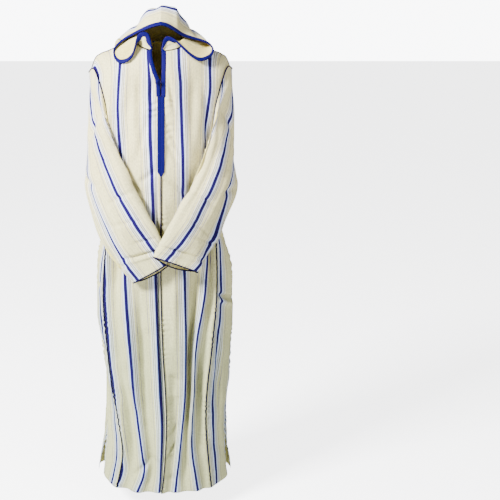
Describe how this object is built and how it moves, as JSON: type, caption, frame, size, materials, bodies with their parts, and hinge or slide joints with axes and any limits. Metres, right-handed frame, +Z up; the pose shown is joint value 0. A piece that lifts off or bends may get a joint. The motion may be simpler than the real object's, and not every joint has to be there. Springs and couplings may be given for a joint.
{
  "type": "hooded djellaba robe",
  "caption": "Ankle-length hooded djellaba robe, hollow as worn, with crossed sleeves, a braided neck slit, a closed placket, piped seams and side slits.",
  "frame": {"origin": "between the shoulders, at the height of the neck end of the shoulder seams, where the wearer's shoulders carry the robe", "axes": "+Z up, -Y to the front of the robe, +X to the wearer's left"},
  "size_m": [0.5044, 0.3389, 1.6023],
  "materials": {
    "striped_cloth": "light crepe weave with a slight satin sheen",
    "blue_braid": "silky flat braid",
    "navy_piping": "dark twisted cord"
  },
  "bodies": {
    "root": {"front_right": "striped_cloth", "front_left": "striped_cloth", "gore_front_right": "striped_cloth", "gore_front_left": "striped_cloth", "gore_back_right": "striped_cloth", "gore_back_left": "striped_cloth", "back": "striped_cloth", "sleeve_right": "striped_cloth", "sleeve_left": "striped_cloth", "hood": "striped_cloth", "braid_hood": "blue_braid", "braid_slit_right": "blue_braid", "braid_slit_left": "blue_braid", "braid_placket": "blue_braid", "button_knot": "blue_braid", "button_loop": "blue_braid", "piping_centre_front": "navy_piping", "piping_side_front_right": "navy_piping", "piping_side_front_left": "navy_piping", "piping_shoulder_right": "navy_piping", "piping_shoulder_left": "navy_piping", "piping_cuff_right": "navy_piping", "piping_cuff_left": "navy_piping"}
  },
  "joints": []
}
